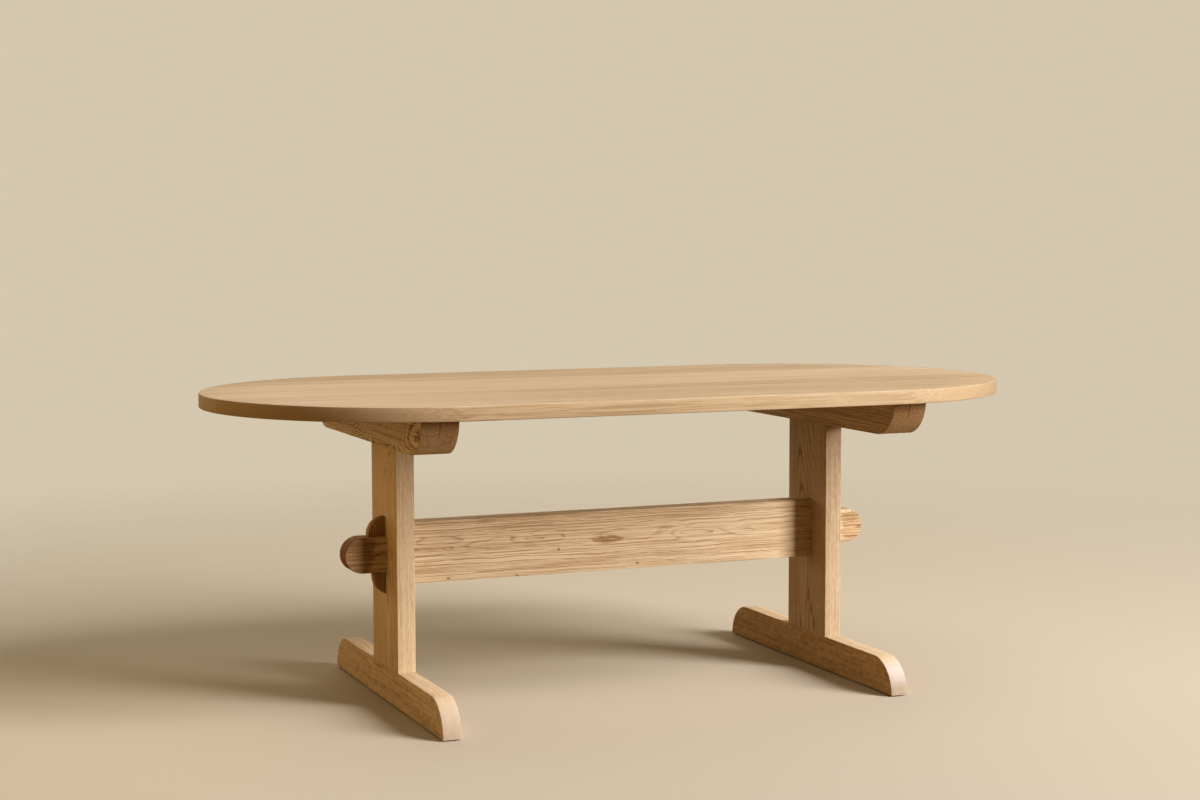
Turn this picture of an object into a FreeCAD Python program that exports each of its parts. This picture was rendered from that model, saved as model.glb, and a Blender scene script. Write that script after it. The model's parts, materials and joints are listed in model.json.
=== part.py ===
import FreeCAD, Part
import math
import os

from FreeCAD import Vector

# Trestle dining table in oak, knocked together with wedge keys. Millimetres.
# Origin on the floor under the middle of the top, +X along the table, +Z up.

# Table top: boards glued edge to edge, straight sides and half-round ends
top_length = 2072.0
top_width = 1036.0
top_thickness = 34.0
top_height = 762.0          # floor to the upper surface
top_arris = 2.5
# Both rims and the glue lines between the boards, as shares of the top's width from its near side
top_joint_shares = (0.0, 0.196, 0.302, 0.405, 0.611, 0.732, 0.843, 1.0)

# Trestles: every post, foot and bearer board is cut from the same stock
stock_thickness = 45.0
end_overhang = 457.6        # of the top past the middle of each post
post_width = 204.0
foot_length = 886.0
foot_height = 86.0
bearer_length = 886.0
bearer_height = 86.0
arris = 1.5                 # eased edges of the trestle timber

# Stub tenons that join each post to its foot and its bearer
stub_thickness = 15.0
stub_width = 150.0
stub_depth = 58.0
stub_end_gap = 1.0          # room for glue past the end of a stub

# Stretcher, shouldered against the posts, with a round-ended tenon through each
stretcher_height = 150.0
stretcher_thickness = 52.0
stretcher_centre_height = 365.6
tenon_height = 86.0
tenon_reach = 105.0         # past the outer face of the post

# Wedge keys
key_thickness = 24.0
key_width = 42.5            # at the upper side of the tenon
key_taper_angle = 7.0       # of the outer edge, in degrees
key_rise = 47.5             # top of the key above the tenon
key_drop = 55.0             # tip of the key below the tenon
key_tip_start = 17.0        # below the tenon, where the outer edge begins to round in
key_draw = 4.0              # the key mortise reaches this far inside the post's face
key_fit = 0.2
key_arris = 1.0

# Bolts, washers and inserts that hold the top down on the bearers
fixing_offset = 290.0       # of the outer bolts from the middle of the bearer
bolt_radius = 4.0
bolt_head_width = 13.0      # across the flats
bolt_head_height = 5.5
bolt_tip_setback = 2.0      # of the bolt's tip inside the insert
bolt_grip = 40.0            # bearer left above the counterbore
bolt_hole_clearance = 0.5
slot_travel = 8.0           # of the outer bolts, lets the top move across its grain
washer_radius = 10.0
washer_thickness = 2.0
counterbore_clearance = 1.0
insert_radius = 7.0
insert_length = 20.0
insert_drill_gap = 3.0      # hole past the end of the insert

# Glides stuck under the feet
glide_radius = 14.0
glide_height = 3.0
glide_chamfer = 1.0
glide_inset = 40.0          # from the end of the foot

# Shared fits
joint_fit = 0.15            # wood to wood, each side
metal_fit = 0.05            # metal in metal or in a drilled hole, each side
overrun = 5.0               # cuts run this far past the stock

right_angle = 90.0
half_turn = 180.0
hexagon_sides = 6

# Places worked out from the sizes above
origin = Vector(0, 0, 0)
upright = Vector(0, 0, 1)
lengthwise = Vector(1, 0, 0)
crosswise = Vector(0, 1, 0)
top_underside = top_height - top_thickness
bearer_underside = top_underside - bearer_height
foot_top = glide_height + foot_height
post_middle = top_length / 2 - end_overhang
post_inner = post_middle - stock_thickness / 2
post_outer = post_middle + stock_thickness / 2
tenon_top = stretcher_centre_height + tenon_height / 2
tenon_bottom = stretcher_centre_height - tenon_height / 2
taper = math.radians(key_taper_angle)
counterbore_depth = bearer_height - bolt_grip
washer_top = bearer_underside + counterbore_depth
bolt_length = washer_thickness + bolt_grip + insert_length - bolt_tip_setback


def centred_box(length, width, height, base):
    corner = base - Vector(length / 2, width / 2, 0)
    return Part.makeBox(length, width, height, corner)


def racetrack_slab(length, width, height):
    # Straight sides and half-round ends, long axis on X, lower face on the origin
    radius = width / 2
    straight = length / 2 - radius
    near_right = Vector(straight, -radius, 0)
    far_right = Vector(straight, radius, 0)
    near_left = Vector(-straight, -radius, 0)
    far_left = Vector(-straight, radius, 0)
    edges = [
        Part.LineSegment(near_left, near_right).toShape(),
        Part.Arc(near_right, Vector(length / 2, 0, 0), far_right).toShape(),
        Part.LineSegment(far_right, far_left).toShape(),
        Part.Arc(far_left, Vector(-length / 2, 0, 0), near_left).toShape(),
    ]
    return Part.Face(Part.Wire(edges)).extrude(upright * height)


def ease(solid, width, chosen):
    # Takes the sharpness off the edges that the test picks
    return solid.makeChamfer(width, [edge for edge in solid.Edges if chosen(edge)])


def lies_across(edge, direction):
    # True for an edge with no length along the direction
    box = edge.BoundBox
    spans = Vector(box.XLength, box.YLength, box.ZLength)
    return spans.dot(direction) < joint_fit


def tangent_arc(start, heading, end):
    # Arc that leaves the start along the heading and runs through the end
    chord = end - start
    side = chord - heading * chord.dot(heading)
    side.normalize()
    radius = chord.dot(chord) / (2 * chord.dot(side))
    centre = start + side * radius
    outward = (start - centre) + (end - centre)
    outward.normalize()
    return Part.Arc(start, centre + outward * radius, end).toShape()


# Table top

def top_panel():
    panel = racetrack_slab(top_length, top_width, top_thickness)
    panel.translate(upright * top_underside)
    return panel


def fixing_places():
    # Each bearer holds the top by two slotted bolts in its inner board, and by one that fixes the middle
    # in its outer board. Gives the place of each bolt and the travel of its slot.
    for offset in (-fixing_offset, fixing_offset):
        yield Vector(post_middle, offset, 0), slot_travel
    yield Vector(post_middle + stock_thickness, 0, 0), 0


def insert_holes():
    radius = insert_radius + metal_fit
    depth = insert_length + insert_drill_gap
    holes = []
    for place, travel in fixing_places():
        base = place + upright * (top_underside - overrun)
        hole = Part.makeCylinder(radius, depth + overrun, base)
        holes += [hole, half_turned(hole)]
    return Part.makeCompound(holes)


def top_boards():
    panel = top_panel()
    holes = insert_holes()
    joints = [top_width * share - top_width / 2 for share in top_joint_shares]
    boards = {}
    for number, (near, far) in enumerate(zip(joints, joints[1:]), start=1):
        strip = centred_box(top_length + overrun, far - near, top_thickness + overrun,
                            Vector(0, (near + far) / 2, top_underside - overrun / 2))
        board = panel.common(strip)
        board = ease(board, top_arris, on_top_rim)
        boards["top_board_%d" % number] = board.cut(holes)
    return boards


def on_top_rim(edge):
    # True for an edge of the table's outline, and not of a glue line between two boards
    middle = edge.valueAt((edge.FirstParameter + edge.LastParameter) / 2)
    straight = (top_length - top_width) / 2
    past_straight = max(abs(middle.x) - straight, 0)
    reach = math.hypot(past_straight, middle.y)
    return lies_across(edge, upright) and abs(reach - top_width / 2) < joint_fit


# Feet and bearers

def rail(length, height, eased_faces, carries_post):
    # Board on edge with its two upper corners rounded over the full height. The edges are eased on the
    # faces given, -1 for the inner and 1 for the outer, except where a post stands on the upper edge.
    seat = post_width / 2
    half = length / 2
    inner = Vector(-stock_thickness / 2, 0, 0)
    across = lengthwise * stock_thickness
    spring = half - height
    rise = height * math.sin(math.radians(right_angle / 2))
    crown = Vector(0, spring + rise, rise)
    end_edges = [
        Part.LineSegment(Vector(0, seat, 0), Vector(0, half, 0)).toShape(),
        Part.Arc(Vector(0, half, 0), crown, Vector(0, spring, height)).toShape(),
        Part.LineSegment(Vector(0, spring, height), Vector(0, seat, height)).toShape(),
        Part.LineSegment(Vector(0, seat, height), Vector(0, seat, 0)).toShape(),
    ]
    end = Part.Face(Part.Wire(end_edges)).extrude(across)
    end.translate(inner)
    middle = centred_box(stock_thickness, post_width, height, origin)

    def on_eased_face(edge):
        place = edge.CenterOfMass.x
        return any(abs(place - face * stock_thickness / 2) < joint_fit for face in eased_faces)

    def along_outline(edge):
        return on_eased_face(edge) and edge.BoundBox.YMax > seat + joint_fit

    def along_middle(edge):
        on_seat = carries_post and edge.BoundBox.ZMax > joint_fit
        return on_eased_face(edge) and not lies_across(edge, crosswise) and not on_seat

    end = ease(end, arris, along_outline)
    middle = ease(middle, arris, along_middle)
    return middle.fuse([end, mirrored(end)]).removeSplitter()


def half_turned(shape):
    turned = shape.copy()
    turned.rotate(origin, upright, half_turn)
    return turned


def mirrored(shape):
    return shape.mirror(origin, crosswise)


def stub_mortise():
    # Blind mortise for a stub, cut downwards from the origin
    width = stub_width + joint_fit * 2
    thickness = stub_thickness + joint_fit * 2
    depth = stub_depth + stub_end_gap
    return centred_box(thickness, width, depth + overrun, Vector(0, 0, -depth))


def foot():
    board = rail(foot_length, foot_height, eased_faces=(-1, 1), carries_post=True)
    mortise = stub_mortise()
    mortise.translate(upright * foot_height)
    board = board.cut(mortise)
    board.translate(Vector(post_middle, 0, glide_height))
    return board


def fixing_bore(radius, travel, base, height):
    # Round, or drawn out along the bearer into a slot
    if not travel:
        return Part.makeCylinder(radius, height, base)
    slot = racetrack_slab(travel + radius * 2, radius * 2, height)
    slot.rotate(origin, upright, right_angle)
    slot.translate(base)
    return slot


def bearer_board(middle, eased_face, carries_post):
    # An upside-down rail, bored and counterbored from below for the top's bolts. Turning it over swaps
    # its faces, so the inner board is eased on the rail's outer face.
    board = rail(bearer_length, bearer_height, (eased_face,), carries_post)
    board.rotate(origin, crosswise, half_turn)
    board.translate(Vector(middle, 0, top_underside))
    for place, travel in fixing_places():
        if abs(place.x - middle) < joint_fit:
            below = place + upright * (bearer_underside - overrun)
            bore = fixing_bore(bolt_radius + bolt_hole_clearance, travel, below, bearer_height + overrun * 2)
            pocket = fixing_bore(washer_radius + counterbore_clearance, travel, below,
                                 counterbore_depth + overrun)
            board = board.cut(bore.fuse(pocket))
    return board


def bearer_inner():
    board = bearer_board(post_middle, eased_face=1, carries_post=True)
    mortise = stub_mortise()
    mortise.rotate(origin, lengthwise, half_turn)
    mortise.translate(Vector(post_middle, 0, bearer_underside))
    return board.cut(mortise)


def bearer_outer():
    return bearer_board(post_middle + stock_thickness, eased_face=-1, carries_post=False)


def post():
    height = bearer_underside - foot_top
    slab = centred_box(stock_thickness, post_width, height, upright * foot_top)
    slab = ease(slab, arris, lambda edge: lies_across(edge, lengthwise + crosswise))
    stub = centred_box(stub_thickness, stub_width, height + stub_depth * 2,
                       upright * (foot_top - stub_depth))
    mortise = centred_box(stock_thickness + overrun, stretcher_thickness + joint_fit * 2,
                          tenon_height + joint_fit * 2, upright * (tenon_bottom - joint_fit))
    timber = slab.fuse(stub).cut(mortise).removeSplitter()
    timber.translate(lengthwise * post_middle)
    return timber


# Stretcher and keys: the joint that locks the trestles together

def key_edge(height):
    # Distance of the key's tapered outer edge from the post, at a height above the floor
    return key_width + (height - tenon_top) * math.tan(taper)


def key_mortise():
    # Through the tenon, and a little way inside the post's face so that the key can draw the joint up
    inner = post_outer - key_draw
    slack = key_fit + key_fit / math.cos(taper)
    low = tenon_bottom - overrun
    high = tenon_top + overrun
    front = -key_thickness / 2 - key_fit
    corners = [
        Vector(inner, front, low),
        Vector(post_outer + key_edge(low) + slack, front, low),
        Vector(post_outer + key_edge(high) + slack, front, high),
        Vector(inner, front, high),
    ]
    face = Part.Face(Part.makePolygon(corners + corners[:1]))
    return face.extrude(crosswise * (key_thickness + key_fit * 2))


def stretcher():
    beam = centred_box(post_inner * 2, stretcher_thickness, stretcher_height,
                       upright * (stretcher_centre_height - stretcher_height / 2))
    beam = ease(beam, arris, lambda edge: lies_across(edge, crosswise + upright))
    tenon = racetrack_slab((post_outer + tenon_reach) * 2, tenon_height, stretcher_thickness)
    tenon = ease(tenon, arris, lambda edge: lies_across(edge, upright))
    tenon.rotate(origin, lengthwise, right_angle)
    tenon.translate(Vector(0, stretcher_thickness / 2, stretcher_centre_height))
    mortise = key_mortise()
    return beam.fuse(tenon).cut(mortise).cut(half_turned(mortise)).removeSplitter()


def key():
    # Flat against the post, tapered on its outer edge. The crown is struck from a centre on the post's
    # face, and the lower end rounds in to a tip.
    crown_radius = (key_width * math.cos(taper) + key_rise * math.sin(taper)) / (1 + math.sin(taper))
    crown_centre = tenon_top + key_rise - crown_radius
    tip_start = tenon_bottom - key_tip_start
    front = -key_thickness / 2
    top = Vector(0, front, tenon_top + key_rise)
    shoulder = Vector(crown_radius * math.cos(taper), front, crown_centre - crown_radius * math.sin(taper))
    waist = Vector(key_edge(tip_start), front, tip_start)
    tip = Vector(0, front, tenon_bottom - key_drop)
    down_the_edge = waist - shoulder
    down_the_edge.normalize()
    edges = [
        tangent_arc(top, lengthwise, shoulder),
        Part.LineSegment(shoulder, waist).toShape(),
        tangent_arc(waist, down_the_edge, tip),
        Part.LineSegment(tip, top).toShape(),
    ]
    wedge = Part.Face(Part.Wire(edges)).extrude(crosswise * key_thickness)
    wedge = ease(wedge, key_arris,
                 lambda edge: lies_across(edge, crosswise) and not lies_across(edge, lengthwise))
    wedge.translate(lengthwise * (post_outer + key_fit))
    return wedge


# Fixings between the bearers and the top

def top_bolt(place):
    corner_reach = bolt_head_width / 2 / math.cos(math.pi / hexagon_sides)
    turn = 2 * math.pi / hexagon_sides
    corners = [Vector(corner_reach * math.cos(turn * step), corner_reach * math.sin(turn * step), 0)
               for step in range(hexagon_sides)]
    head = Part.Face(Part.makePolygon(corners + corners[:1])).extrude(upright * -bolt_head_height)
    bolt = head.fuse(Part.makeCylinder(bolt_radius, bolt_length))
    bolt.translate(place + upright * (washer_top - washer_thickness))
    return bolt


def top_washer(place):
    base = place + upright * (washer_top - washer_thickness)
    disc = Part.makeCylinder(washer_radius, washer_thickness, base)
    return disc.cut(Part.makeCylinder(bolt_radius + metal_fit, washer_thickness, base))


def top_insert(place):
    base = place + upright * top_underside
    sleeve = Part.makeCylinder(insert_radius, insert_length, base)
    return sleeve.cut(Part.makeCylinder(bolt_radius + metal_fit, insert_length, base))


def fixings(make_one):
    return Part.makeCompound([make_one(place) for place, travel in fixing_places()])


# Glides

def glide_offsets():
    reach = foot_length / 2 - glide_inset
    return (-reach, reach)


def glide(offset):
    disc = Part.makeCylinder(glide_radius, glide_height)
    disc = ease(disc, glide_chamfer, lambda edge: edge.BoundBox.ZMax < joint_fit)
    disc.translate(Vector(post_middle, offset, 0))
    return disc


def glides():
    return Part.makeCompound([glide(offset) for offset in glide_offsets()])


def trestle_pieces():
    # One end of the table, at +X
    return {
        "foot": foot(),
        "post": post(),
        "bearer_inner": bearer_inner(),
        "bearer_outer": bearer_outer(),
        "key": key(),
        "top_bolts": fixings(top_bolt),
        "top_washers": fixings(top_washer),
        "top_inserts": fixings(top_insert),
        "glides": glides(),
    }


pieces = dict(top_boards())
pieces["stretcher"] = stretcher()
for name, shape in trestle_pieces().items():
    pieces["right_" + name] = shape
    pieces["left_" + name] = half_turned(shape)

os.makedirs("parts", exist_ok=True)
for name, shape in pieces.items():
    shape.exportStep("parts/%s.step" % name)
    print(name, len(shape.Solids), "solids", round(shape.Volume), "mm3", "valid", shape.isValid())
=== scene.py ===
import json
import math

import bmesh
import bpy
import numpy as np
from mathutils import Euler, Matrix, Vector


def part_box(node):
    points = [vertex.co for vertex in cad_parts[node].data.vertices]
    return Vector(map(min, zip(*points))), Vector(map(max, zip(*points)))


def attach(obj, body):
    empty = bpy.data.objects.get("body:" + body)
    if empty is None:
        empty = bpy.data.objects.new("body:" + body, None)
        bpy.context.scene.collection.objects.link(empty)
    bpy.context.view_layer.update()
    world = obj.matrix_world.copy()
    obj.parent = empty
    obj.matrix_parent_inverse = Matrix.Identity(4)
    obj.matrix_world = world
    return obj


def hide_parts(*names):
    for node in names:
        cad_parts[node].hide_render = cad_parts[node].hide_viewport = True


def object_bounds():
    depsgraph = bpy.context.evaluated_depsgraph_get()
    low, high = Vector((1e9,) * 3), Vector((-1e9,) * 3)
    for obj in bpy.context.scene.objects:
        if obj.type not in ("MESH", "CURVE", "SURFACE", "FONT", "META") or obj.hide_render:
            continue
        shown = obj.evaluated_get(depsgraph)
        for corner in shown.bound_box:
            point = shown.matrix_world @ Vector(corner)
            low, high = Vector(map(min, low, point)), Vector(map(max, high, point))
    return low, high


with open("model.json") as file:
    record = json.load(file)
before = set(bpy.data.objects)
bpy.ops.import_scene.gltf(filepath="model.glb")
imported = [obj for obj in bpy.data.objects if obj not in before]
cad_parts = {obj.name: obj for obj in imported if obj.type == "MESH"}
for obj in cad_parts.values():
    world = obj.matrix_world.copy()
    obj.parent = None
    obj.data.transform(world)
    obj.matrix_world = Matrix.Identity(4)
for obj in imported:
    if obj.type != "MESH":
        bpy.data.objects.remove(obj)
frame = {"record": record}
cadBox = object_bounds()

scene = bpy.context.scene
quarterTurn = math.pi / 2
tolerance = 1e-6                   # metres, for places that count as one


# Mesh helpers

meshForm = {"smallestEdge": 1e-7, "squareFace": 0.99995, "sharpEdge": math.radians(38)}


def nodeBox(node):
    low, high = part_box(node)
    return np.array(low, float), np.array(high, float)


def skinOfCells(filled):
    # Quads between every filled lattice cell and an empty neighbour, as numbers of lattice corners
    size = np.add(filled.shape, 1)
    corners = np.arange(size.prod()).reshape(size)
    unit = np.eye(3, dtype=int)
    quads = []
    for axis in range(3):
        across, up = unit[(axis + 1) % 3], unit[(axis + 2) % 3]
        margin = [(1, 1) if other == axis else (0, 0) for other in range(3)]
        step = np.diff(np.pad(filled, margin).astype(int), axis=axis)
        for sign in (1, -1):
            at = np.argwhere(step == sign)
            ring = [corners[tuple((at + shift).T)] for shift in (across * 0, across, across + up, up)]
            quads.append(np.stack(ring[::-1] if sign > 0 else ring, axis=1))
    return np.concatenate(quads)


def ringQuads(rings, around):
    # Quads between each ring of a closed tube and the next one
    ring, turn = np.meshgrid(np.arange(rings - 1), np.arange(around), indexing="ij")
    nextTurn = (turn + 1) % around
    quads = [ring * around + turn, ring * around + nextTurn,
             (ring + 1) * around + nextTurn, (ring + 1) * around + turn]
    return np.stack(quads, axis=-1).reshape(-1, 4)


def outwardQuads(points, quads):
    # The signed volume of the skin tells whether its quads have to be turned round
    first, second, third, fourth = (points[quads[:, corner]] for corner in range(4))
    volume = np.sum(first * np.cross(second, third)) + np.sum(first * np.cross(third, fourth))
    return quads if volume > 0 else quads[:, ::-1]


def meshFrom(name, points, quads):
    # Doubled points are merged, square faces stay flat, and the rest is smooth between sharp edges
    mesh = bpy.data.meshes.new(name)
    mesh.from_pydata(points.tolist(), [], quads.tolist())
    work = bmesh.new()
    work.from_mesh(mesh)
    bmesh.ops.remove_doubles(work, verts=work.verts, dist=tolerance)
    bmesh.ops.dissolve_degenerate(work, edges=work.edges, dist=meshForm["smallestEdge"])
    work.to_mesh(mesh)
    work.free()
    normals = np.empty(len(mesh.polygons) * 3)
    mesh.polygons.foreach_get("normal", normals)
    square = np.abs(normals.reshape(-1, 3)).max(axis=1) > meshForm["squareFace"]
    mesh.polygons.foreach_set("use_smooth", ~square)
    mesh.set_sharp_from_angle(angle=meshForm["sharpEdge"])
    mesh.update()
    return mesh


def addPiece(name, points, quads, node, finish):
    # A finished mesh stands for one CAD node, on that node's body and in its material slot
    piece = bpy.data.objects.new(name, meshFrom(name, points, outwardQuads(points, quads)))
    scene.collection.objects.link(piece)
    piece.data.materials.append(finish)
    body = next(body for body, nodes in frame["record"]["behaviour"]["bodies"].items() if node in nodes)
    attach(piece, body)
    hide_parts(node)


def addLattice(name, places, filled, node, finish):
    used, quads = np.unique(skinOfCells(filled), return_inverse=True)
    addPiece(name, places.reshape(-1, 3)[used], quads.reshape(-1, 4), node, finish)


def lattice(x, y, z):
    return np.stack(np.broadcast_arrays(x, y, z), axis=-1)


sideTurns = {"right": (1.0, 1.0, 1.0), "left": (-1.0, -1.0, 1.0)}  # the left side is half a turn away


def onSide(side, points):
    return points * np.array(sideTurns[side])


def allCells(levels):
    return np.ones(len(levels) - 1, bool)


def cellsWithin(levels, low, high):
    middle = (levels[:-1] + levels[1:]) / 2
    return (middle > low) & (middle < high)


def blockOf(inX, inY, inZ):
    return inX[:, None, None] & inY[None, :, None] & inZ[None, None, :]


def easedLevels(low, high, radius, lowEased=True, highEased=True, between=(), steps=4):
    # Levels through a thickness, and how far the outline draws in at each. At an eased face both follow
    # a quarter circle: depth = radius times (1 - cosine), draw-in = radius times (1 - sine).
    turn = np.linspace(0, quarterTurn, steps + 1)
    depth, drawIn = radius * (1 - np.cos(turn)), radius * (1 - np.sin(turn))
    bare = np.zeros(1)
    lowDepth, lowIn = (depth, drawIn) if lowEased else (bare, bare)
    highDepth, highIn = (depth, drawIn) if highEased else (bare, bare)
    between = np.array(between, float)
    levels = np.concatenate([low + lowDepth, between, (high - highDepth)[::-1]])
    drawn = np.concatenate([lowIn, np.zeros(len(between)), highIn[::-1]])
    return levels, drawn


# Shader helpers

class Signal:
    # Wraps one shader socket. Arithmetic on it adds Math nodes, and node() adds any other node.
    def __init__(self, tree, socket=None):
        self.tree, self.socket = tree, socket

    def node(self, kind, settings=None, sockets=None, take=0):
        made = self.tree.nodes.new(kind)
        for key, value in (settings or {}).items():
            if key == "stops":
                ramp = made.color_ramp
                while len(ramp.elements) < len(value):
                    ramp.elements.new(1.0)
                for element, (place, colour) in zip(ramp.elements, value):
                    element.position, element.color = place, opaque(colour)
            else:
                setattr(made, key, value)
        for key, value in (sockets or {}).items():
            if isinstance(value, Signal):
                self.tree.links.new(value.socket, made.inputs[key])
            else:
                made.inputs[key].default_value = value
        return Signal(self.tree, made.outputs[take] if made.outputs else None)

    def maths(self, operation, *terms):
        return self.node("ShaderNodeMath", {"operation": operation}, dict(enumerate(terms)))

    def __add__(self, other):
        return self.maths("ADD", self, other)

    def __radd__(self, other):
        return self.maths("ADD", other, self)

    def __sub__(self, other):
        return self.maths("SUBTRACT", self, other)

    def __rsub__(self, other):
        return self.maths("SUBTRACT", other, self)

    def __mul__(self, other):
        return self.maths("MULTIPLY", self, other)

    def __rmul__(self, other):
        return self.maths("MULTIPLY", other, self)

    def __truediv__(self, other):
        return self.maths("DIVIDE", self, other)

    def __pow__(self, other):
        return self.maths("POWER", self, other)

    def size(self):  # this value without its sign
        return self.maths("ABSOLUTE", self)

    def between(self, low, high):  # 0 below low, 1 above high, smooth between
        return self.node("ShaderNodeMapRange", {"interpolation_type": "SMOOTHSTEP"},
                         {"Value": self, "From Min": low, "From Max": high})

    def vector(self, operation, *terms, take=0):
        return self.node("ShaderNodeVectorMath", {"operation": operation}, dict(enumerate(terms)), take)

    def part(self, axis):  # one part of this vector
        return self.node("ShaderNodeSeparateXYZ", {}, {0: self}, axis)

    def stretched(self, scale):  # this vector, scaled along each axis
        return self.vector("MULTIPLY", self, scale)

    def swayed(self, sway, depth):  # this vector, moved sideways by a noise colour
        sway = sway.vector("SUBTRACT", sway, (0.5, 0.5, 0.5))
        return self.vector("ADD", self, sway.stretched((0.0, depth, depth)))

    def bell(self, middle, size):  # 1 at the middle, falling off with the square of the distance in sizes
        away = self.vector("DIVIDE", self.vector("SUBTRACT", self, middle), size)
        return self.maths("EXPONENT", away.vector("DOT_PRODUCT", away, away, take=1) * -1.0)

    def noise(self, scale, detail, roughness, take="Fac"):
        return self.node("ShaderNodeTexNoise", {}, {
            "Vector": self.stretched(scale), "Scale": 1.0, "Detail": detail, "Roughness": roughness}, take)

    def bumped(self, strength, depth):  # a surface normal, with this value as the height
        return self.node("ShaderNodeBump", {}, {"Strength": strength, "Distance": depth, "Height": self})

    def mixed(self, first, second):  # colours, with this value as the share of the second
        return self.node("ShaderNodeMix", {"data_type": "RGBA"}, {0: self, 6: first, 7: second}, 2)

    def tinted(self, colour):  # this colour multiplied by another
        return self.node("ShaderNodeMix", {"data_type": "RGBA", "blend_type": "MULTIPLY"},
                         {0: 1.0, 6: self, 7: opaque(colour)}, 2)


def opaque(colour):
    return (*colour, 1.0)


def newFinish(name):
    finish = bpy.data.materials.new(name)
    finish.use_nodes = True
    tree = finish.node_tree
    tree.nodes.clear()
    return finish, Signal(tree)


def closeFinish(start, sockets):
    shader = start.node("ShaderNodeBsdfPrincipled", {}, sockets)
    start.node("ShaderNodeOutputMaterial", {}, {"Surface": shader})


# Oak

oakTones = {
    "dark": (0.265, 0.155, 0.070),
    "middle": (0.500, 0.370, 0.226),
    "pale": (0.645, 0.512, 0.350),
    "pore": (0.18, 0.105, 0.05),
    "ray": (0.70, 0.58, 0.43),
}

oakNoises = {                      # scales per metre along the grain and across it, detail, roughness
    "bend": ((0.9, 3.5, 3.5), 1.0, 0.5),
    "wave": ((6.0, 16.0, 16.0), 2.0, 0.5),
    "ripple": ((26.0, 55.0, 55.0), 1.0, 0.5),
    "dash": ((24.0, 210.0, 210.0), 2.0, 0.6),
    "streak": ((0.7, 45.0, 45.0), 3.0, 0.6),
    "hair": ((3.0, 300.0, 300.0), 1.0, 0.5),
    "fibre": ((6.0, 420.0, 420.0), 3.0, 0.6),
    "cloud": ((1.3, 6.0, 6.0), 2.0, 0.5),
    "pore": ((48.0, 1500.0, 1500.0), 1.0, 0.5),
    "ray": ((42.0, 26.0, 95.0), 1.0, 0.5),       # along, out from and around the pith line
}

oakRanges = {                      # where each pattern starts to show, and where it is full
    "year": (0.0, 0.06), "early": (0.0, 0.5),    # shares of one ring
    "dash": (0.3, 0.6), "hair": (0.42, 0.62), "pore": (0.60, 0.70), "ray": (0.66, 0.74),
    "end": (0.25, 0.90), "blur": (0.06, 0.45),   # how squarely a face cuts the grain
    "level": (0.15, 0.75),                       # how squarely a face looks up or down
    "stain": (0.45, 0.95), "pin": (0.25, 0.75),
}

oakAmounts = {
    "seedStep": (7.31, 3.17, 1.93),              # how far a seed of 1 moves the patterns
    "ripple": 0.2,                               # share of the wave's depth
    "driftScale": 60.0, "driftDetail": 1.0, "drift": 2.2,  # uneven ring widths, counted in rings
    "dash": 0.6, "latePore": 0.25, "fibre": 0.30, "flatFigure": 0.35, "blurTone": 0.35,
    "figureDetail": 3.0, "figureRoughness": 0.62,
    "stainBell": 1.3, "stainFigure": 1.6, "poreTone": 0.45,
    "fibreHeight": 0.35, "earlyDepth": 0.25, "bumpStrength": 0.35, "bumpDepth": 0.0004,
    "roughness": 0.70, "poreRoughness": 0.15, "rayGloss": 0.1, "fibreRoughness": 0.12, "specular": 0.06,
}

grainTurn = {                      # turns the piece so that its grain runs along X
    "x": (0.0, 0.0, 0.0),
    "y": (0.0, 0.0, -quarterTurn),
    "z": (0.0, quarterTurn, 0.0),
}

grainAxis = {"x": (1.0, 0.0, 0.0), "y": (0.0, 1.0, 0.0), "z": (0.0, 0.0, 1.0)}

flatSawn = {                       # what each board's look starts from
    "grain": "x", "lean": (0.008, 0.012), "pith": (0.0, 0.0, 0.0), "seed": 1.0,
    "bend": 0.012, "wave": 0.005, "ringWidth": 0.003, "ringDepth": 0.55, "spread": 0.8,
    "streak": 0.55, "cloud": 0.30, "hair": 0.45, "rimHair": 0.0, "ray": 0.25,
    "figure": 0.10, "figureScale": (28.0, 95.0, 95.0), "tone": 0.28,
    "tint": (1.0, 1.0, 1.0), "rimTint": (1.0, 1.0, 1.0),             # level faces, upright faces
    "endTint": (0.72, 0.62, 0.50), "endBlur": 0.75,
    "knots": (), "fades": (), "stains": (), "pins": (),              # at places on the piece
}


def oakLook(base, **changes):
    return {**base, **changes}


def boardPlaces(start, look):
    # The place on the piece, and the same place turned and moved so that X is the pith line
    nod, swing = look["lean"]
    turn = Euler(grainTurn[look["grain"]]).to_matrix()
    turn = Matrix.Rotation(nod, 3, "Y") @ Matrix.Rotation(swing, 3, "Z") @ turn
    place = start.node("ShaderNodeTexCoord", take="Object")
    grain = start.node("ShaderNodeMapping", {"vector_type": "POINT"}, {
        "Vector": place, "Location": -(turn @ Vector(look["pith"])), "Rotation": turn.to_euler("XYZ")})
    return place, grain


def strayedGrain(grain, seeded, look):
    # The grain moved sideways by a slow bend, a shorter wave and a fine ripple
    depths = {"bend": look["bend"], "wave": look["wave"], "ripple": look["wave"] * oakAmounts["ripple"]}
    for kind, depth in depths.items():
        grain = grain.swayed(seeded.noise(*oakNoises[kind], "Color"), depth)
    return grain


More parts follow.
